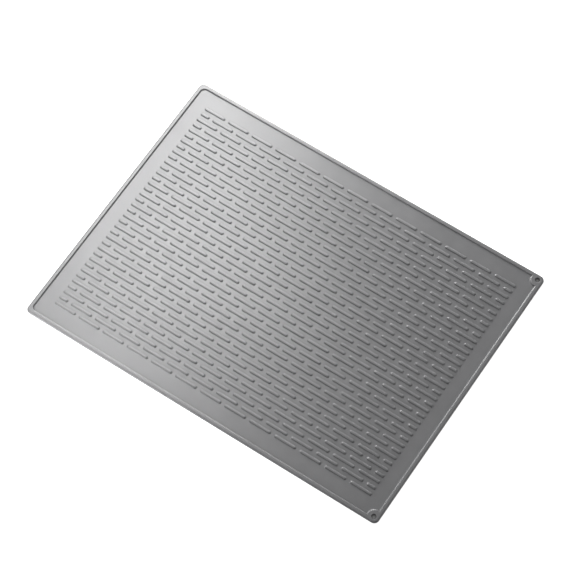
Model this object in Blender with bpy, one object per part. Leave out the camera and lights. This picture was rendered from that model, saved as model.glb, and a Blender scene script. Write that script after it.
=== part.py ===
"""Silicone dish drying mat.

A flexible sheet moulded in one piece: a shallow tray with a raised rim, a field of low ribs laid
like bricks that holds wet dishes off the floor of the tray, and two corners thickened into bosses
with a hole to hang the mat up by. Lengths are in metres. The mat lies on the XY plane with its
long side along X, its middle over the origin and the hang holes at the +X end.
"""

import math

import bmesh
import bpy

# Sheet
MAT_LENGTH = 0.610
MAT_DEPTH = 0.457
MAT_HEIGHT = 0.0032
CORNER_RADIUS = 0.0080
FLOOR_THICKNESS = 0.0014
UNDERSIDE_ROUND = 0.0004

# Rim round the tray: a low bead that slopes down to the floor of the tray
RIM_WIDTH = 0.0059
RIM_DRAFT = 0.0015
RIM_ROUND = 0.0015
TRAY_CORNER_RADIUS = 0.0080
TRAY_FILLET = 0.0004

# Bosses with the hang holes, in the two corners at the +X end
HOLE_EDGE_DISTANCE = 0.0090
HOLE_RADIUS = 0.0036
HOLE_ROUND = 0.0005
BOSS_RADIUS = 0.0115
BOSS_DRAFT = 0.0010

# Field of ribs
RIB_HEIGHT = 0.0013
RIB_WIDTH = 0.0056
RIB_GAP = 0.0062
RIB_ROOT = 0.0005
END_MARGIN = 0.0295
SIDE_MARGIN = 0.0323
RIB_ROWS = 37
RIBS_IN_FULL_ROW = 13
RIB_NOSE_SHARE = 0.80
RIB_CREST_WIDTH_SHARE = 0.45
RIB_CREST_NOSE_SHARE = 0.36

# One overrun for all cutters
CUT_OVERRUN = 0.002

# Facets
CORNER_SEGMENTS = 6
ROUND_SEGMENTS = 2
BOSS_SEGMENTS = 36
HOLE_SEGMENTS = 20

SHARP_ANGLE = math.radians(40)
BROKEN_EDGE_ANGLE = math.radians(30)
FLAT_ANGLE = math.radians(0.5)
COPLANAR = 1e-6

SILICONE_COLOUR = (0.150, 0.150, 0.155, 1.0)
SILICONE_ROUGHNESS = 0.45


def clear_scene():
    """Empty the file that the script is run in."""
    for obj in list(bpy.data.objects):
        bpy.data.objects.remove(obj, do_unlink=True)
    for collection in list(bpy.data.collections):
        bpy.data.collections.remove(collection)


def new_collection(name):
    collection = bpy.data.collections.new(name)
    bpy.context.scene.collection.children.link(collection)
    return collection


def silicone_material():
    """Grey satin silicone, one colour through and through."""
    material = bpy.data.materials.new("grey_silicone")
    material.use_nodes = True
    shader = material.node_tree.nodes["Principled BSDF"]
    shader.inputs["Base Color"].default_value = SILICONE_COLOUR
    shader.inputs["Roughness"].default_value = SILICONE_ROUGHNESS
    shader.inputs["Metallic"].default_value = 0.0
    return material


def object_from(bm, name, collection):
    """Turn a bmesh into an object with its faces outward."""
    bmesh.ops.recalc_face_normals(bm, faces=bm.faces)
    mesh = bpy.data.meshes.new(name)
    bm.to_mesh(mesh)
    bm.free()
    obj = bpy.data.objects.new(name, mesh)
    collection.objects.link(obj)
    return obj


def cutter_from(bm, name, collection):
    """A solid that only shapes others: hidden in renders, shown as wire."""
    obj = object_from(bm, name, collection)
    obj.hide_render = True
    obj.display_type = "WIRE"
    return obj


def apply_boolean(target, tool, operation):
    """Join the tool to the target, or cut the target with it, and keep the result."""
    modifier = target.modifiers.new(tool.name, "BOOLEAN")
    modifier.operation = operation
    modifier.solver = "EXACT"
    modifier.object = tool
    depsgraph = bpy.context.evaluated_depsgraph_get()
    result = bpy.data.meshes.new_from_object(target.evaluated_get(depsgraph))
    target.modifiers.clear()
    old = target.data
    target.data = result
    bpy.data.meshes.remove(old)


def rounded_slab(length, depth, low, high, radius):
    """A box from the height low to the height high with its upright edges rounded."""
    bm = bmesh.new()
    bmesh.ops.create_cube(bm, size=1.0)
    for vert in bm.verts:
        vert.co.x *= length
        vert.co.y *= depth
        vert.co.z = high if vert.co.z > 0 else low
    upright = [edge for edge in bm.edges if abs(edge.verts[0].co.z - edge.verts[1].co.z) > COPLANAR]
    bmesh.ops.bevel(bm, geom=upright, offset=radius, offset_type="OFFSET", affect="EDGES",
                    segments=CORNER_SEGMENTS, profile=0.5, clamp_overlap=True)
    return bm


def edges_at(bm, height, angle):
    """Edges that lie at one height and turn by more than the angle."""
    found = []
    for edge in bm.edges:
        level = all(abs(vert.co.z - height) < COPLANAR for vert in edge.verts)
        if level and len(edge.link_faces) == 2 and edge.calc_face_angle(0.0) > angle:
            found.append(edge)
    return found


def round_edges(bm, edges, radius):
    bmesh.ops.bevel(bm, geom=edges, offset=radius, offset_type="OFFSET", affect="EDGES",
                    segments=ROUND_SEGMENTS, profile=0.5, clamp_overlap=True)


def hole_places():
    """Centres of the two hang holes."""
    x = MAT_LENGTH / 2 - HOLE_EDGE_DISTANCE
    y = MAT_DEPTH / 2 - HOLE_EDGE_DISTANCE
    return [(x, -y), (x, y)]


def tray_cutter(collection):
    """The hollow of the tray: drafted walls, a fillet along the floor, and the bosses left out."""
    length = MAT_LENGTH - 2 * RIM_WIDTH
    depth = MAT_DEPTH - 2 * RIM_WIDTH
    bm = rounded_slab(length, depth, FLOOR_THICKNESS, MAT_HEIGHT, TRAY_CORNER_RADIUS)
    for vert in bm.verts:
        if vert.co.z < MAT_HEIGHT - COPLANAR:
            vert.co.x -= math.copysign(RIM_DRAFT, vert.co.x)
            vert.co.y -= math.copysign(RIM_DRAFT, vert.co.y)
    round_edges(bm, edges_at(bm, FLOOR_THICKNESS, BROKEN_EDGE_ANGLE), TRAY_FILLET)
    top = [face for face in bm.faces if face.calc_center_median().z > MAT_HEIGHT - COPLANAR]
    raised = bmesh.ops.extrude_face_region(bm, geom=top)
    lifted = [item for item in raised["geom"] if isinstance(item, bmesh.types.BMVert)]
    bmesh.ops.translate(bm, verts=lifted, vec=(0.0, 0.0, CUT_OVERRUN))
    bmesh.ops.delete(bm, geom=top, context="FACES")
    cutter = cutter_from(bm, "tray_cutter", collection)
    apply_boolean(cutter, boss_blocks(collection), "DIFFERENCE")
    return cutter


def upright_cone(bm, place, low, high, low_radius, high_radius, segments):
    """A round, tapered, capped solid standing at a place."""
    made = bmesh.ops.create_cone(bm, cap_ends=True, segments=segments, radius1=low_radius,
                                 radius2=high_radius, depth=high - low)
    bmesh.ops.translate(bm, verts=made["verts"], vec=(place[0], place[1], (low + high) / 2))


def boss_blocks(collection):
    """Solids that keep the tray's cutter off the corner bosses."""
    low = -CUT_OVERRUN
    high = MAT_HEIGHT + 2 * CUT_OVERRUN
    slope = BOSS_DRAFT / (MAT_HEIGHT - FLOOR_THICKNESS)
    low_radius = BOSS_RADIUS + slope * (MAT_HEIGHT - low)
    high_radius = BOSS_RADIUS - slope * (high - MAT_HEIGHT)
    bm = bmesh.new()
    for place in hole_places():
        upright_cone(bm, place, low, high, low_radius, high_radius, BOSS_SEGMENTS)
    return cutter_from(bm, "boss_blocks", collection)


def hang_hole_cutter(collection):
    """Two pins that bore the hang holes through the bosses."""
    bm = bmesh.new()
    for place in hole_places():
        upright_cone(bm, place, -CUT_OVERRUN, MAT_HEIGHT + CUT_OVERRUN, HOLE_RADIUS, HOLE_RADIUS,
                     HOLE_SEGMENTS)
    return cutter_from(bm, "hang_hole_cutter", collection)


def near_hole(vert):
    """Whether a point lies on the edge of a hang hole."""
    reach = HOLE_RADIUS + HOLE_ROUND
    return any(math.hypot(vert.co.x - x, vert.co.y - y) < reach for x, y in hole_places())


def round_sheet(obj):
    """Round the rim, the bosses and the mouths of the hang holes, and ease the underside."""
    bm = bmesh.new()
    bm.from_mesh(obj.data)
    top = edges_at(bm, MAT_HEIGHT, BROKEN_EDGE_ANGLE)
    mouths = [edge for edge in top if near_hole(edge.verts[0])]
    rims = [edge for edge in top if not near_hole(edge.verts[0])]
    round_edges(bm, rims, RIM_ROUND)
    mouths = [edge for edge in mouths if edge.is_valid]
    round_edges(bm, mouths, HOLE_ROUND)
    under = [edge for edge in edges_at(bm, 0.0, BROKEN_EDGE_ANGLE) if not near_hole(edge.verts[0])]
    round_edges(bm, under, UNDERSIDE_ROUND)
    bmesh.ops.recalc_face_normals(bm, faces=bm.faces)
    bm.to_mesh(obj.data)
    bm.free()


def rib_rows():
    """Each rib as (x, y, length): full rows and, between them, rows shifted by half a rib."""
    field_length = MAT_LENGTH - 2 * END_MARGIN
    pitch = (field_length + RIB_GAP) / RIBS_IN_FULL_ROW
    length = pitch - RIB_GAP
    short = pitch / 2 - RIB_GAP
    row_pitch = (MAT_DEPTH - 2 * SIDE_MARGIN - RIB_WIDTH) / (RIB_ROWS - 1)
    first_x = (length - field_length) / 2
    first_y = -row_pitch * (RIB_ROWS - 1) / 2
    ribs = []
    for row in range(RIB_ROWS):
        y = first_y + row * row_pitch
        if row % 2 == 0:
            ribs += [(first_x + i * pitch, y, length) for i in range(RIBS_IN_FULL_ROW)]
            continue
        ribs += [(first_x + (i + 1 / 2) * pitch, y, length) for i in range(RIBS_IN_FULL_ROW - 1)]
        end_x = (field_length - short) / 2
        ribs += [(-end_x, y, short), (end_x, y, short)]
    return ribs


def add_rib(bm, x, y, length):
    """One rib: sloping flanks, a narrow crest and pointed-round noses, on a root let into the floor."""
    half_length = length / 2
    half_width = RIB_WIDTH / 2
    crest_half = half_width * RIB_CREST_WIDTH_SHARE
    shoulder = half_length - half_width * RIB_NOSE_SHARE
    crest_end = half_length - RIB_WIDTH * RIB_CREST_NOSE_SHARE
    outline = []
    crest = []
    for side in (-1, 1):
        outline.append((x + side * half_length, y))
        for edge in (-1, 1):
            outline.append((x + side * shoulder, y + edge * half_width))
            crest.append((x + side * crest_end, y + edge * crest_half))
    verts = [bm.verts.new((*point, FLOOR_THICKNESS - RIB_ROOT)) for point in outline]
    verts += [bm.verts.new((*point, FLOOR_THICKNESS)) for point in outline]
    verts += [bm.verts.new((*point, FLOOR_THICKNESS + RIB_HEIGHT)) for point in crest]
    hull = bmesh.ops.convex_hull(bm, input=verts)
    edges = [item for item in hull["geom"] if isinstance(item, bmesh.types.BMEdge)]
    bmesh.ops.dissolve_limit(bm, angle_limit=FLAT_ANGLE, verts=verts, edges=edges)


def rib_field(collection):
    """All the ribs as one group of solids that reach a little into the floor."""
    bm = bmesh.new()
    for x, y, length in rib_rows():
        add_rib(bm, x, y, length)
    return cutter_from(bm, "rib_field", collection)


def build_mat():
    """The whole moulding: sheet, tray, bosses, holes, rounded edges, then the ribs."""
    parts = new_collection("dish_drying_mat")
    cutters = new_collection("cutters")
    bm = rounded_slab(MAT_LENGTH, MAT_DEPTH, 0.0, MAT_HEIGHT, CORNER_RADIUS)
    mat = object_from(bm, "silicone_mat", parts)
    apply_boolean(mat, tray_cutter(cutters), "DIFFERENCE")
    apply_boolean(mat, hang_hole_cutter(cutters), "DIFFERENCE")
    round_sheet(mat)
    apply_boolean(mat, rib_field(cutters), "UNION")
    mat.data.materials.clear()
    mat.data.materials.append(silicone_material())
    mat.data.shade_smooth()
    mat.data.set_sharp_from_angle(angle=SHARP_ANGLE)
    return mat


clear_scene()
build_mat()
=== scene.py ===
"""A grey silicone dish drying mat on a white studio floor.

The mat is one moulding: a shallow tray with a rounded rim, two bosses with hang holes in the corners
of one end, and a field of low ribs laid like bricks. All lengths are in metres and all angles in
degrees. The mat lies on the XY plane, its long side along X, and the hang holes are at the +X end.
"""

import logging
import math
from collections.abc import Callable
from dataclasses import dataclass, field
from enum import Enum

import bmesh
import bpy
from mathutils import Matrix, Vector


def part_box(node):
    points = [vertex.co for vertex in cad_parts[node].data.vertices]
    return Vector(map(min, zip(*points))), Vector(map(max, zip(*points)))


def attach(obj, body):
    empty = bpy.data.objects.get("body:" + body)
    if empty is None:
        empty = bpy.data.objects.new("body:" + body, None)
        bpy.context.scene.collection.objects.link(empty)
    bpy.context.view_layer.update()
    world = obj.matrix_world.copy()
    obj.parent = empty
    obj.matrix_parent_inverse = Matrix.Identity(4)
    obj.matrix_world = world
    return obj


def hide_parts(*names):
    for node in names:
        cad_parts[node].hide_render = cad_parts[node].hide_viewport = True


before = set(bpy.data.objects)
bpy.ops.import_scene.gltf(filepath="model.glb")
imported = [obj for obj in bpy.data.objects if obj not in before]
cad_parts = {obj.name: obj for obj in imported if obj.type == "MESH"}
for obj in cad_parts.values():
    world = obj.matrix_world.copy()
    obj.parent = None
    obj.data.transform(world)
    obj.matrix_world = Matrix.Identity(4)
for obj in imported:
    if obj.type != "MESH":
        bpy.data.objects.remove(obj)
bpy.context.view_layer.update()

logging.basicConfig(level=logging.INFO, format="%(message)s")
log = logging.getLogger("drying_mat")

Edge = bmesh.types.BMEdge
Face = bmesh.types.BMFace
Tree = bpy.types.NodeTree
Node = bpy.types.ShaderNode
Socket = bpy.types.NodeSocket

MAT_NODE = "silicone_mat"
MAT_BODY = "root"
WHITE = (1.0, 1.0, 1.0, 1.0)

# Two heights nearer than this count as one, and a cutting tool passes a face by as much.
LEVEL_TOLERANCE = 1e-5
# Corners nearer than this are merged into one.
MERGE_DISTANCE = 2e-5
# A face looks up or down when its normal's share along Z is more than this.
LEVEL_FACE = 0.9
# Nearly all of a noise texture's values lie between these two.
NOISE_LOW = 0.3
NOISE_HIGH = 0.7


class Side(Enum):
    """The two long sides of the mat, by the sign of Y."""

    FRONT = -1
    BACK = 1


class Part(Enum):
    """What a selection in edit mode is made of."""

    EDGE = "EDGE"
    FACE = "FACE"


def deselect_all() -> None:
    """Leave object mode with nothing selected, so that an operator acts on new things only."""
    if bpy.context.object is not None and bpy.context.object.mode != "OBJECT":
        bpy.ops.object.mode_set(mode="OBJECT")
    bpy.ops.object.select_all(action="DESELECT")


def make_active(obj: bpy.types.Object) -> None:
    """Select one object alone and make it the active one.

    Args:
        obj: The object to work on.
    """
    deselect_all()
    obj.select_set(True)
    bpy.context.view_layer.objects.active = obj


def name_piece(name: str) -> bpy.types.Object:
    """Name the active object and its mesh.

    Args:
        name: The piece's name.

    Returns:
        The active object.
    """
    obj = bpy.context.object
    obj.name = name
    obj.data.name = name
    return obj


def apply_place(obj: bpy.types.Object) -> None:
    """Move an object's place and size into its mesh, with the object left at the origin."""
    make_active(obj)
    bpy.ops.object.transform_apply(location=True, rotation=True, scale=True)


def add_block(name: str, size: Vector, centre: Vector) -> bpy.types.Object:
    """Add a cube primitive at its real size and place.

    Args:
        name: The piece's name.
        size: Its length, depth and height.
        centre: Its middle.

    Returns:
        The new object, at the origin with its place in its mesh.
    """
    deselect_all()
    bpy.ops.mesh.primitive_cube_add(size=1.0, location=centre, scale=size)
    obj = name_piece(name)
    apply_place(obj)
    return obj


def select_where(obj: bpy.types.Object, part: Part, chosen: Callable[[Edge | Face], bool]) -> None:
    """Enter edit mode on an object and select the edges or the faces that a test picks.

    Args:
        obj: The object to edit.
        part: Whether its edges or its faces are meant.
        chosen: A test that takes one of them and says whether it is wanted.
    """
    make_active(obj)
    bpy.ops.object.mode_set(mode="EDIT")
    bpy.ops.mesh.select_mode(type=part.value)
    bpy.ops.mesh.select_all(action="DESELECT")
    mesh = bmesh.from_edit_mesh(obj.data)
    for item in mesh.edges if part is Part.EDGE else mesh.faces:
        if chosen(item):
            item.select = True
    mesh.select_flush_mode()
    bmesh.update_edit_mesh(obj.data)


def is_upright(edge: Edge) -> bool:
    """Tell whether an edge runs straight up.

    Args:
        edge: The edge.

    Returns:
        True if its ends lie one above the other.
    """
    low, high = edge.verts
    level = math.hypot(low.co.x - high.co.x, low.co.y - high.co.y)
    return abs(low.co.z - high.co.z) > LEVEL_TOLERANCE and level < LEVEL_TOLERANCE


def lies_at(edge: Edge, height: float) -> bool:
    """Tell whether both ends of an edge are at a height."""
    return all(abs(vert.co.z - height) < LEVEL_TOLERANCE for vert in edge.verts)


def bevel_selected(radius: float, segments: int) -> None:
    """Round the selected edges and go back to object mode."""
    bpy.ops.mesh.bevel(offset=radius, segments=segments, profile=0.5, affect="EDGES")
    bpy.ops.object.mode_set(mode="OBJECT")


def cut(target: bpy.types.Object, tool: bpy.types.Object) -> None:
    """Cut a tool out of a target, keep the result and remove the tool.

    Args:
        target: The piece that is cut.
        tool: The solid that is taken away.
    """
    make_active(target)
    modifier = target.modifiers.new("cut", "BOOLEAN")
    modifier.operation = "DIFFERENCE"
    modifier.solver = "EXACT"
    modifier.object = tool
    bpy.ops.object.modifier_apply(modifier=modifier.name)
    bpy.data.objects.remove(tool, do_unlink=True)


def shade_rounded(obj: bpy.types.Object, crease_angle: float) -> None:
    """Shade a piece smooth, with its creases left sharp and its flats kept flat.

    Args:
        obj: The piece.
        crease_angle: The angle past which an edge stays sharp.
    """
    make_active(obj)
    bpy.ops.object.shade_smooth_by_angle(angle=math.radians(crease_angle))
    weighted = obj.modifiers.new("flats", "WEIGHTED_NORMAL")
    weighted.mode = "FACE_AREA"
    weighted.weight = 100
    weighted.keep_sharp = True
    bpy.ops.object.modifier_apply(modifier=weighted.name)


def quarter_turns(count: int) -> list[float]:
    """List the angles of a quarter turn in equal steps, in radians, without the one at zero."""
    return [math.pi / 2 * step / count for step in range(1, count + 1)]


def seen_directly(tree: Tree) -> Socket:
    """Make a value that is 1 for camera, mirror and see-through rays, and 0 for scattered light.

    Args:
        tree: The node tree that gets the nodes.

    Returns:
        The socket that holds the value.
    """
    path = tree.nodes.new("ShaderNodeLightPath")
    value = path.outputs["Is Camera Ray"]
    for kind in ("Is Glossy Ray", "Is Transmission Ray"):
        larger = tree.nodes.new("ShaderNodeMath")
        larger.operation = "MAXIMUM"
        tree.links.new(value, larger.inputs[0])
        tree.links.new(path.outputs[kind], larger.inputs[1])
        value = larger.outputs["Value"]
    return value


@dataclass(frozen=True)
class SiliconeFinish:
    """Satin grey silicone: one colour through and through, with the faint grain of a blasted mould.

    Attributes:
        tone_variation: How far the grey drifts to each side, as a share of itself.
        tone_patch: How wide the patches of tone are.
        gloss_patch: How wide the slicker and drier patches are.
        index: The silicone's refractive index.
        grain_size, grain_height: The mould's grain, across and up.
        swell_size, swell_height: The slow swell of a sheet that isn't quite flat, across and up.
        tone_detail, gloss_detail, grain_detail, swell_detail: How many finer layers each noise has.
    """

    name: str = "grey_silicone"
    colour: tuple[float, float, float] = (0.148, 0.148, 0.151)
    tone_variation: float = 0.04
    tone_patch: float = 0.060
    tone_detail: float = 3.0
    roughness: float = 0.25
    roughness_variation: float = 0.02
    gloss_patch: float = 0.015
    gloss_detail: float = 4.0
    index: float = 1.45
    grain_size: float = 0.00035
    grain_height: float = 0.000012
    grain_detail: float = 2.0
    swell_size: float = 0.055
    swell_height: float = 0.00010
    swell_detail: float = 1.0

    def build(self) -> bpy.types.Material:
        """Make the material.

        Returns:
            The silicone material, on object coordinates.
        """
        material = bpy.data.materials.new(self.name)
        material.use_nodes = True
        tree = material.node_tree
        shader = tree.nodes["Principled BSDF"]
        shader.inputs["Metallic"].default_value = 0.0
        shader.inputs["IOR"].default_value = self.index
        place = tree.nodes.new("ShaderNodeTexCoord")
        self._tone(tree, place, shader)
        self._gloss(tree, place, shader)
        self._relief(tree, place, shader)
        return material

    def _noise(self, tree: Tree, place: Node, size: float, detail: float) -> Socket:
        """Add a noise texture.

        Args:
            tree: The material's node tree.
            place: The texture coordinates.
            size: How wide the noise's patches are.
            detail: How many finer layers the noise has.

        Returns:
            The socket that holds the noise.
        """
        noise = tree.nodes.new("ShaderNodeTexNoise")
        noise.inputs["Scale"].default_value = 1.0 / size
        noise.inputs["Detail"].default_value = detail
        tree.links.new(place.outputs["Object"], noise.inputs["Vector"])
        return noise.outputs["Fac"]

    def _tone(self, tree: Tree, place: Node, shader: Node) -> None:
        """Let the grey drift a little, as pigment does in a moulding.

        Args:
            tree: The material's node tree.
            place: The texture coordinates.
            shader: The shader that gets the colour.
        """
        ramp = tree.nodes.new("ShaderNodeValToRGB")
        for stop, position, sign in zip(ramp.color_ramp.elements, (NOISE_LOW, NOISE_HIGH), (-1, 1)):
            grey = [channel * (1 + sign * self.tone_variation) for channel in self.colour]
            stop.color = (*grey, 1.0)
            stop.position = position
        noise = self._noise(tree, place, self.tone_patch, self.tone_detail)
        tree.links.new(noise, ramp.inputs["Fac"])
        tree.links.new(ramp.outputs["Color"], shader.inputs["Base Color"])

    def _gloss(self, tree: Tree, place: Node, shader: Node) -> None:
        """Let the satin vary between slightly drier and slightly slicker patches.

        Args:
            tree: The material's node tree.
            place: The texture coordinates.
            shader: The shader that gets the roughness.
        """
        spread = tree.nodes.new("ShaderNodeMapRange")
        spread.inputs["From Min"].default_value = NOISE_LOW
        spread.inputs["From Max"].default_value = NOISE_HIGH
        spread.inputs["To Min"].default_value = self.roughness - self.roughness_variation
        spread.inputs["To Max"].default_value = self.roughness + self.roughness_variation
        noise = self._noise(tree, place, self.gloss_patch, self.gloss_detail)
        tree.links.new(noise, spread.inputs["Value"])
        tree.links.new(spread.outputs["Result"], shader.inputs["Roughness"])

    def _relief(self, tree: Tree, place: Node, shader: Node) -> None:
        """Lay the mould's fine grain over the sheet's slow swell.

        Args:
            tree: The material's node tree.
            place: The texture coordinates.
            shader: The shader that gets the relief.
        """
        swell = self._bump(tree, self._noise(tree, place, self.swell_size, self.swell_detail),
                           self.swell_height)
        grain = self._bump(tree, self._noise(tree, place, self.grain_size, self.grain_detail),
                           self.grain_height)
        tree.links.new(swell.outputs["Normal"], grain.inputs["Normal"])
        tree.links.new(grain.outputs["Normal"], shader.inputs["Normal"])

    def _bump(self, tree: Tree, noise: Socket, height: float) -> Node:
        """Turn a noise into relief.

        Args:
            tree: The material's node tree.
            noise: The socket that holds the noise.
            height: How high the relief is.

        Returns:
            The bump node.
        """
        bump = tree.nodes.new("ShaderNodeBump")
        bump.inputs["Strength"].default_value = 1.0
        bump.inputs["Distance"].default_value = height
        tree.links.new(noise, bump.inputs["Height"])
        return bump


@dataclass(frozen=True)
class FloorFinish:
    """A floor that looks plain white but for the mat's faint shadow, with painted shade below its hang
    holes.

    Attributes:
        hole_x, hole_y: A hang hole's axis, without signs.
        hole_reach: How far from that axis the painted shade reaches.
        glow: The white that the floor shows besides the light that falls on it.
        painted_hole_glow, painted_hole_edge_glow: The glow of the painted shade below a hang hole, in its
        middle and at its reach.
    """

    hole_x: float
    hole_y: float
    hole_reach: float
    name: str = "white_floor"
    colour: float = 0.80
    glow: float = 0.90
    painted_hole_glow: float = 0.17
    painted_hole_edge_glow: float = 0.02

    def build(self) -> bpy.types.Material:
        """Make the material.

        Returns:
            The floor's material.
        """
        material = bpy.data.materials.new(self.name)
        material.use_nodes = True
        tree = material.node_tree
        tree.nodes.clear()
        output = tree.nodes.new("ShaderNodeOutputMaterial")
        matte = tree.nodes.new("ShaderNodeBsdfDiffuse")
        matte.inputs["Color"].default_value = (self.colour, self.colour, self.colour, 1.0)
        glow = tree.nodes.new("ShaderNodeEmission")
        glow.inputs["Color"].default_value = WHITE
        glow.inputs["Strength"].default_value = self.glow
        white = tree.nodes.new("ShaderNodeAddShader")
        tree.links.new(matte.outputs["BSDF"], white.inputs[0])
        tree.links.new(glow.outputs["Emission"], white.inputs[1])
        gap = self._gap_to_hole(tree)
        # Below the hang holes the floor shows painted shade, a dim glow in place of its lit white.
        painted_shade = self._painted_hole_shade(tree, gap)
        shown = self._mix(tree, self._painted_shade_mask(tree, gap), white.outputs["Shader"], painted_shade)
        whole = self._mix(tree, seen_directly(tree), matte.outputs["BSDF"], shown)
        tree.links.new(whole, output.inputs["Surface"])
        return material

    def _mix(self, tree: Tree, share: Socket, first: Socket, second: Socket) -> Socket:
        """Go from one shader to another.

        Args:
            tree: The material's node tree.
            share: The value that is 0 for the first shader and 1 for the second.
            first: The first shader.
            second: The second shader.

        Returns:
            The socket that holds the mixed shader.
        """
        mix = tree.nodes.new("ShaderNodeMixShader")
        tree.links.new(share, mix.inputs["Fac"])
        tree.links.new(first, mix.inputs[1])
        tree.links.new(second, mix.inputs[2])
        return mix.outputs["Shader"]

    def _gap_to_hole(self, tree: Tree) -> Socket:
        """Measure how far a place on the floor is from the axis of the nearer hang hole.

        The place loses its signs first, so that one axis does for both holes. The two places at the
        other end of the mat that this counts as well are hidden under the mat.

        Args:
            tree: The material's node tree.

        Returns:
            The socket that holds the distance.
        """
        place = tree.nodes.new("ShaderNodeTexCoord")
        unsigned = tree.nodes.new("ShaderNodeVectorMath")
        unsigned.operation = "ABSOLUTE"
        tree.links.new(place.outputs["Object"], unsigned.inputs[0])
        level = tree.nodes.new("ShaderNodeVectorMath")
        level.operation = "MULTIPLY"
        level.inputs[1].default_value = (1.0, 1.0, 0.0)
        tree.links.new(unsigned.outputs["Vector"], level.inputs[0])
        gap = tree.nodes.new("ShaderNodeVectorMath")
        gap.operation = "DISTANCE"
        gap.inputs[1].default_value = (self.hole_x, self.hole_y, 0.0)
        tree.links.new(level.outputs["Vector"], gap.inputs[0])
        return gap.outputs["Value"]

    def _painted_shade_mask(self, tree: Tree, gap: Socket) -> Socket:
        """Make the mask of the painted shade: a value that is 1 on the floor below a hang hole and 0
        elsewhere.

        Args:
            tree: The material's node tree.
            gap: The distance from the hole's axis.

        Returns:
            The socket that holds the value.
        """
        near = tree.nodes.new("ShaderNodeMath")
        near.operation = "LESS_THAN"
        near.inputs[1].default_value = self.hole_reach
        tree.links.new(gap, near.inputs[0])
        return near.outputs["Value"]

    def _painted_hole_shade(self, tree: Tree, gap: Socket) -> Socket:
        """Make the painted shade on the floor at the bottom of a hang hole, a dim glow in place of the
        shade there, darker towards the hole's wall.

        Args:
            tree: The material's node tree.
            gap: The distance from the hole's axis.

        Returns:
            The socket that holds the shader.
        """
        # The painted shade glows most at the hole's axis and fades darker towards its reach.
        fade = tree.nodes.new("ShaderNodeMapRange")
        fade.inputs["From Max"].default_value = self.hole_reach
        fade.inputs["To Min"].default_value = self.painted_hole_glow
        fade.inputs["To Max"].default_value = self.painted_hole_edge_glow
        tree.links.new(gap, fade.inputs["Value"])
        glow = tree.nodes.new("ShaderNodeEmission")
        glow.inputs["Color"].default_value = WHITE
        tree.links.new(fade.outputs["Result"], glow.inputs["Strength"])
        return glow.outputs["Emission"]


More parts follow.
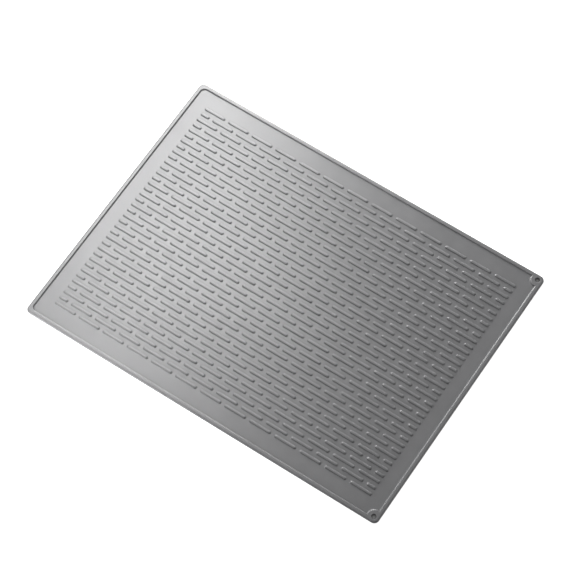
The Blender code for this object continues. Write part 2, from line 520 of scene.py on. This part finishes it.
@dataclass
class Sheet:
    """The sheet with its rim, tray, corner bosses and hang holes.

    Attributes:
        floor: How thick the tray's floor is.
        outer_round, underside_round: The roundings of the outer edge, above and below.
        rim_width: How wide the rim is with its inner rounding.
        rim_draft: How much further into the tray the foot of the rim's wall stands than its top.
        rim_round, tray_fillet: The roundings at the top and the foot of that wall.
        hole_edge_distance: From a hang hole's axis to both nearest edges.
        hole_round: The rounding of a hang hole's mouth.
        overrun: How far a cutting tool reaches beyond what it cuts.
        corner_segments, round_segments, round_sides: Facets of a corner, a rounding and a circle.
        crease_angle: The angle past which an edge is shaded sharp.
    """

    length: float
    depth: float
    height: float
    floor: float = 0.0014
    corner_radius: float = 0.0080
    outer_round: float = 0.0024
    underside_round: float = 0.0004
    rim_width: float = 0.0069
    rim_draft: float = 0.0007
    rim_round: float = 0.0012
    tray_corner_radius: float = 0.0080
    tray_fillet: float = 0.0004
    hole_edge_distance: float = 0.0090
    hole_radius: float = 0.0036
    hole_round: float = 0.0008
    boss_radius: float = 0.0106
    overrun: float = 0.0020
    corner_segments: int = 14
    round_segments: int = 5
    round_sides: int = 96
    crease_angle: float = 35.0

    def build(self) -> bpy.types.Object:
        """Model the sheet.

        Returns:
            The finished sheet, undressed.
        """
        sheet = self._rounded_block("mat_sheet", self.length, self.depth, 0.0, self.height,
                                    self.corner_radius)
        select_where(sheet, Part.EDGE, lambda edge: lies_at(edge, self.height))
        bevel_selected(self.outer_round, self.round_segments)
        select_where(sheet, Part.EDGE, lambda edge: lies_at(edge, 0.0))
        bevel_selected(self.underside_round, self.round_segments)
        cut(sheet, self._tray_tool())
        for side in Side:
            cut(sheet, self._hole_tool(side))
        shade_rounded(sheet, self.crease_angle)
        return sheet

    def hole_centre(self, side: Side) -> Vector:
        """Tell where a hang hole's axis meets the floor."""
        return Vector((self.length / 2 - self.hole_edge_distance,
                       side.value * (self.depth / 2 - self.hole_edge_distance), 0.0))

    def _rounded_block(self, name: str, length: float, depth: float, low: float, high: float,
                       radius: float) -> bpy.types.Object:
        """Make a block with its upright edges rounded.

        Args:
            name: The block's name.
            length: Its size along X.
            depth: Its size along Y.
            low: The height of its underside.
            high: The height of its top.
            radius: The radius of its upright edges.

        Returns:
            The block.
        """
        block = add_block(name, Vector((length, depth, high - low)), Vector((0, 0, (low + high) / 2)))
        select_where(block, Part.EDGE, is_upright)
        bevel_selected(radius, self.corner_segments)
        return block

    def _disc(self, name: str, side: Side, radius: float, low: float, high: float) -> bpy.types.Object:
        """Make an upright round tool on a hang hole's axis.

        Args:
            name: The tool's name.
            side: The side of the mat that the hole is on.
            radius: The tool's radius.
            low: The height of its underside.
            high: The height of its top.

        Returns:
            The tool.
        """
        deselect_all()
        centre = self.hole_centre(side) + Vector((0, 0, (low + high) / 2))
        bpy.ops.mesh.primitive_cylinder_add(vertices=self.round_sides, radius=radius,
                                            depth=high - low, location=centre)
        disc = name_piece(name)
        apply_place(disc)
        return disc

    def _wall_steps(self) -> list[tuple[float, float]]:
        """List the steps of the tray's wall from the rim's crest to the floor.

        Returns:
            Points as (how far into the tray, how far down): a round, a steep wall and a fillet.
        """
        turns = quarter_turns(self.round_segments)
        drop = self.height - self.floor
        foot = self.rim_round + self.rim_draft
        steps = [(self.rim_round * math.sin(turn), self.rim_round * (1 - math.cos(turn))) for turn in turns]
        steps.append((foot, drop - self.tray_fillet))
        steps += [(foot + self.tray_fillet * (1 - math.cos(turn)),
                   drop - self.tray_fillet + self.tray_fillet * math.sin(turn)) for turn in turns]
        return steps

    def _tray_tool(self) -> bpy.types.Object:
        """Make the hollow of the tray, stepped down the wall's profile and left out at the bosses.

        Returns:
            The tool.
        """
        crest = self.rim_width - self.rim_round
        top = self.height + LEVEL_TOLERANCE
        tool = self._rounded_block("tray_tool", self.length - 2 * crest, self.depth - 2 * crest, top,
                                   top + self.overrun, self.tray_corner_radius + self.rim_round)
        select_where(tool, Part.FACE, lambda face: face.normal.z < -LEVEL_FACE)
        inset = 0.0
        sunk = 0.0
        for inward, down in self._wall_steps():
            bpy.ops.mesh.inset(thickness=inward - inset, depth=down - sunk, use_even_offset=True)
            inset = inward
            sunk = down
        bpy.ops.object.mode_set(mode="OBJECT")
        for side in Side:
            cut(tool, self._boss_tool(side))
        return tool

    def _boss_tool(self, side: Side) -> bpy.types.Object:
        """Make a round tool with the rim's own profile that keeps the tray's hollow off a boss.

        Args:
            side: The side of the mat that the boss is on.

        Returns:
            The tool.
        """
        top = self.height - LEVEL_TOLERANCE
        crest_radius = self.boss_radius - self.rim_round
        tool = self._disc("boss_tool", side, crest_radius, top, top + 2 * self.overrun)
        self._flare(tool, side, -1, crest_radius, self._wall_steps())
        return tool

    def _hole_tool(self, side: Side) -> bpy.types.Object:
        """Make a round tool for a hang hole, flared at the top to round the hole's mouth.

        Args:
            side: The side of the mat that the hole is on.

        Returns:
            The tool.
        """
        neck = self.height - self.hole_round + LEVEL_TOLERANCE
        tool = self._disc("hole_tool", side, self.hole_radius, -self.overrun, neck)
        mouth = [(self.hole_round * (1 - math.cos(turn)), self.hole_round * math.sin(turn))
                 for turn in quarter_turns(self.round_segments)]
        self._flare(tool, side, 1, self.hole_radius, mouth)
        return tool

    def _flare(self, tool: bpy.types.Object, side: Side, way: int, radius: float,
               steps: list[tuple[float, float]]) -> None:
        """Carry a disc's end face on, wider with each step, and past the last one straight on.

        Args:
            tool: The disc.
            side: The side of the mat that the disc is on.
            way: 1 to go up from its top, -1 to go down from its bottom.
            radius: The disc's radius.
            steps: How much wider and how much further each new ring is than the disc's end.
        """
        axis = self.hole_centre(side)
        select_where(tool, Part.FACE, lambda face: way * face.normal.z > LEVEL_FACE)
        wide = radius
        far = 0.0
        for wider, further in steps:
            share = (radius + wider) / wide
            bpy.ops.mesh.extrude_region_move(
                TRANSFORM_OT_translate={"value": (0.0, 0.0, way * (further - far))})
            bpy.ops.transform.resize(value=(share, share, 1.0), center_override=(axis.x, axis.y, 0.0),
                                     constraint_axis=(True, True, False))
            wide = radius + wider
            far = further
        bpy.ops.mesh.extrude_region_move(
            TRANSFORM_OT_translate={"value": (0.0, 0.0, way * self.overrun / 2)})
        bpy.ops.object.mode_set(mode="OBJECT")


@dataclass
class RibField:
    """The ribs: full rows, and between them rows shifted by half a rib with a short one at each end.

    Attributes:
        floor: The height of the tray's floor, on which the ribs stand.
        gap: From one rib's end to the next one's.
        end_margin, side_margin: From the mat's edges to the outermost ribs.
        full_row: How many long ribs a full row has.
        foot_spread: How far a rib's foot spreads beyond its width on each side.
        sink: How far a rib starts below the floor.
        nose_stretch: How much further a rib's noses slope along it than its flanks do across it.
        profile: Steps of a rib's flank from foot to crest, as (how far in, how high).
        crease_angle: The angle past which an edge is shaded sharp.
    """

    length: float
    depth: float
    floor: float
    width: float = 0.0049
    gap: float = 0.0062
    end_margin: float = 0.0295
    side_margin: float = 0.03265
    rows: int = 37
    full_row: int = 13
    foot_spread: float = 0.00020
    sink: float = 0.00006
    nose_stretch: float = 1.3
    profile: tuple[tuple[float, float], ...] = (
        (0.00020, 0.00014),
        (0.00050, 0.00078),
        (0.00080, 0.00113),
        (0.00120, 0.00134),
        (0.00170, 0.00145),
        (0.00240, 0.00150),
    )
    end_segments: int = 3
    crease_angle: float = 60.0

    @property
    def pitch(self) -> float:
        """From one rib of a row to the next."""
        return (self.length - 2 * self.end_margin + self.gap) / self.full_row

    @property
    def row_pitch(self) -> float:
        """From one row to the next."""
        return (self.depth - 2 * self.side_margin - self.width) / (self.rows - 1)

    def build(self) -> list[bpy.types.Object]:
        """Model the ribs, a row at a time.

        Returns:
            The rows, from the front one to the back one.
        """
        full = self._full_row()
        shifted = self._shifted_row()
        first = -self.row_pitch * (self.rows - 1) / 2
        copies = []
        for row in range(self.rows):
            pattern = full if row % 2 == 0 else shifted
            copies.append(self._copy_row(pattern, row, first + row * self.row_pitch))
        for pattern in (full, shifted):
            bpy.data.objects.remove(pattern, do_unlink=True)
        return copies

    def _rib(self, name: str, length: float, centre_x: float) -> bpy.types.Object:
        """Model one rib with a filleted foot, leaning flanks, longer sloping noses and a rounded crest.

        Args:
            name: The rib's name.
            length: Its length, without the spread of its foot.
            centre_x: Where its middle is along X.

        Returns:
            The rib, at Y zero.
        """
        foot_length = length + 2 * self.foot_spread
        foot_width = self.width + 2 * self.foot_spread
        low = self.floor - self.sink
        high = self.floor
        rib = add_block(name, Vector((foot_length, foot_width, high - low)),
                        Vector((centre_x, 0, (low + high) / 2)))
        select_where(rib, Part.EDGE, is_upright)
        bevel_selected(foot_width / 2, self.end_segments)
        make_active(rib)
        bpy.ops.object.mode_set(mode="EDIT")
        bpy.ops.mesh.select_all(action="SELECT")
        bpy.ops.mesh.remove_doubles(threshold=MERGE_DISTANCE)
        bpy.ops.object.mode_set(mode="OBJECT")
        select_where(rib, Part.FACE, lambda face: face.normal.z > LEVEL_FACE)
        reach = foot_length / 2
        inset = 0.0
        rise = 0.0
        for offset, height in self.profile:
            step = offset - inset
            share = (reach - self.nose_stretch * step) / (reach - step)
            bpy.ops.mesh.inset(thickness=step, depth=height - rise, use_even_offset=True)
            bpy.ops.transform.resize(value=(share, 1.0, 1.0), center_override=(centre_x, 0.0, 0.0))
            reach -= self.nose_stretch * step
            inset = offset
            rise = height
        bpy.ops.object.mode_set(mode="OBJECT")
        shade_rounded(rib, self.crease_angle)
        return rib

    def _row_of(self, name: str, rib: bpy.types.Object, count: int) -> bpy.types.Object:
        """Repeat a rib along X and keep the result as one mesh.

        Args:
            name: The row's name.
            rib: The row's first rib.
            count: How many ribs the row gets.

        Returns:
            The row.
        """
        make_active(rib)
        array = rib.modifiers.new("row", "ARRAY")
        array.count = count
        array.use_relative_offset = False
        array.use_constant_offset = True
        array.constant_offset_displace = (self.pitch, 0.0, 0.0)
        bpy.ops.object.modifier_apply(modifier=array.name)
        return name_piece(name)

    def _full_row(self) -> bpy.types.Object:
        """Model a row of long ribs.

        Returns:
            The row, at Y zero.
        """
        length = self.pitch - self.gap
        first = -self.pitch * (self.full_row - 1) / 2
        return self._row_of("full_row", self._rib("long_rib", length, first), self.full_row)

    def _shifted_row(self) -> bpy.types.Object:
        """Model a row of long ribs shifted by half a rib, with a short rib at each end.

        Returns:
            The row, at Y zero.
        """
        length = self.pitch - self.gap
        short = self.pitch / 2 - self.gap
        first = -self.pitch * (self.full_row - 2) / 2
        row = self._row_of("shifted_row", self._rib("long_rib", length, first), self.full_row - 1)
        end = (self.length - 2 * self.end_margin - short) / 2
        left = self._rib("short_rib", short, -end)
        right = self._rib("short_rib", short, end)
        make_active(row)
        left.select_set(True)
        right.select_set(True)
        bpy.ops.object.join()
        return name_piece("shifted_row")

    def _copy_row(self, pattern: bpy.types.Object, row: int, y: float) -> bpy.types.Object:
        """Copy a row's pattern, mesh and all, to its place.

        Args:
            pattern: The row to copy, at Y zero.
            row: The new row's number, from 0 at the front.
            y: The new row's place.

        Returns:
            The new row, at the origin with its place in its mesh.
        """
        make_active(pattern)
        bpy.ops.object.duplicate(linked=False)
        bpy.ops.transform.translate(value=(0.0, y, 0.0))
        copy = name_piece(f"rib_row_{row + 1:02d}")
        apply_place(copy)
        return copy


@dataclass
class Mat:
    """The whole moulding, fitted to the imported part."""

    finish: SiliconeFinish = field(default_factory=SiliconeFinish)

    def build(self) -> Sheet:
        """Build the sheet and the ribs, dress them, and hang them on the part's body.

        Returns:
            The sheet's sizes, which the studio needs to find the hang holes.
        """
        low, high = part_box(MAT_NODE)
        size = high - low
        sheet = Sheet(length=size.x, depth=size.y, height=size.z)
        ribs = RibField(length=size.x, depth=size.y, floor=sheet.floor)
        body = sheet.build()
        rows = ribs.build()
        material = self.finish.build()
        for piece in (body, *rows):
            self._dress(piece, material)
        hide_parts(MAT_NODE)
        return sheet

    def _dress(self, piece: bpy.types.Object, material: bpy.types.Material) -> None:
        """Give a piece its finish and its body, and report it.

        Args:
            piece: The finished piece.
            material: Its material.
        """
        piece.data.materials.clear()
        piece.data.materials.append(material)
        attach(piece, MAT_BODY)
        log.info("%s: %d faces", piece.name, len(piece.data.polygons))


@dataclass(frozen=True)
class SoftBox:
    """A soft box that faces the middle of the mat.

    Attributes:
        azimuth: Its direction round the mat, from +X towards +Y.
        elevation: Its direction above the floor.
        distance: How far it is from the middle of the mat.
        size: How wide and how high it is.
        power: Its power in watts.
    """

    name: str
    azimuth: float
    elevation: float
    distance: float
    size: tuple[float, float]
    power: float

    def build(self) -> bpy.types.Object:
        """Hang the soft box.

        Returns:
            The lamp.
        """
        turn = math.radians(self.azimuth)
        rise = math.radians(self.elevation)
        away = Vector((math.cos(turn) * math.cos(rise), math.sin(turn) * math.cos(rise), math.sin(rise)))
        across = Vector((0.0, 0.0, 1.0)).cross(away).normalized()
        deselect_all()
        bpy.ops.object.light_add(type="AREA", location=away * self.distance)
        lamp = bpy.context.object
        lamp.name = self.name
        lamp.rotation_euler = Matrix((across, away.cross(across), away)).transposed().to_euler()
        lamp.data.shape = "RECTANGLE"
        lamp.data.size, lamp.data.size_y = self.size
        lamp.data.energy = self.power
        lamp.visible_camera = False
        return lamp


@dataclass
class Studio:
    """The white floor, the lamps and the camera.

    Attributes:
        hole: Where the back hang hole's axis meets the floor.
        hole_radius: The hang holes' radius.
        hole_shade: How far the painted shade on the floor below a hang hole reaches, as a share of the
            hole's radius.
        floor_drop: How far the floor lies under the mat.
        sky: How strong the even light from all round is.
        camera_aim: What the camera looks at.
        camera_back: The direction from there to the camera.
        clip: The nearest and the furthest that the camera sees.
    """

    hole: Vector
    hole_radius: float
    hole_shade: float = 1.2
    floor_size: float = 12.0
    floor_drop: float = 0.0002
    sky: float = 0.05
    lamps: tuple[SoftBox, ...] = (
        SoftBox("key_low", azimuth=130.0, elevation=45.0, distance=2.2, size=(0.55, 0.55), power=19.0),
        SoftBox("key_high", azimuth=141.5, elevation=60.0, distance=2.2, size=(0.58, 0.55), power=18.0),
        SoftBox("back_left", azimuth=150.0, elevation=12.0, distance=1.6, size=(0.75, 0.50), power=10.0),
        SoftBox("back_low", azimuth=107.0, elevation=12.0, distance=1.6, size=(0.75, 0.50), power=13.0),
        SoftBox("back_high", azimuth=119.0, elevation=30.0, distance=1.6, size=(0.75, 0.50), power=15.0),
        SoftBox("front_fill", azimuth=240.0, elevation=12.0, distance=0.75, size=(0.45, 0.25), power=5.0),
        SoftBox("right_fill", azimuth=0.0, elevation=5.0, distance=0.60, size=(0.50, 0.06), power=0.35),
    )
    camera_aim: tuple[float, float, float] = (-0.0032, 0.0116, 0.0)
    camera_back: tuple[float, float, float] = (0.26171, -0.34895, 0.89986)
    camera_distance: float = 3.8178
    camera_roll: float = -3.490
    lens: float = 163.2
    sensor: float = 36.0
    clip: tuple[float, float] = (0.05, 60.0)

    def build(self) -> None:
        """Set the stage round the mat."""
        self._floor()
        self._world()
        for lamp in self.lamps:
            lamp.build()
        self._camera()
        bpy.context.scene.view_settings.view_transform = "Standard"

    def _floor(self) -> None:
        """Lay the floor just under the mat."""
        deselect_all()
        bpy.ops.mesh.primitive_plane_add(size=self.floor_size, location=(0, 0, -self.floor_drop))
        plane = name_piece("studio_floor")
        apply_place(plane)
        # The floor's finish paints shade on the floor below the hang holes.
        finish = FloorFinish(self.hole.x, self.hole.y, self.hole_radius * self.hole_shade)
        plane.data.materials.append(finish.build())

    def _world(self) -> None:
        """Make a weak even sky that the camera sees as white."""
        world = bpy.data.worlds.new("studio")
        bpy.context.scene.world = world
        world.use_nodes = True
        tree = world.node_tree
        light = tree.nodes["Background"]
        light.inputs["Color"].default_value = WHITE
        light.inputs["Strength"].default_value = self.sky
        white = tree.nodes.new("ShaderNodeBackground")
        white.inputs["Color"].default_value = WHITE
        white.inputs["Strength"].default_value = 1.0
        path = tree.nodes.new("ShaderNodeLightPath")
        mix = tree.nodes.new("ShaderNodeMixShader")
        tree.links.new(path.outputs["Is Camera Ray"], mix.inputs["Fac"])
        tree.links.new(light.outputs["Background"], mix.inputs[1])
        tree.links.new(white.outputs["Background"], mix.inputs[2])
        tree.links.new(mix.outputs["Shader"], tree.nodes["World Output"].inputs["Surface"])

    def _camera(self) -> None:
        """Set up the camera high over the front right, with a slight roll."""
        back = Vector(self.camera_back).normalized()
        deselect_all()
        bpy.ops.object.camera_add(location=Vector(self.camera_aim) + back * self.camera_distance)
        camera = bpy.context.object
        camera.name = "camera"
        turn = (-back).to_track_quat("-Z", "Y").to_matrix() @ Matrix.Rotation(
            math.radians(self.camera_roll), 3, "Z")
        camera.rotation_euler = turn.to_euler()
        camera.data.lens = self.lens
        camera.data.sensor_width = self.sensor
        camera.data.clip_start, camera.data.clip_end = self.clip
        bpy.context.scene.camera = camera


def main() -> None:
    """Build the mat and the studio round it."""
    sheet = Mat().build()
    Studio(sheet.hole_centre(Side.BACK), sheet.hole_radius).build()


if __name__ == "__main__":
    main()
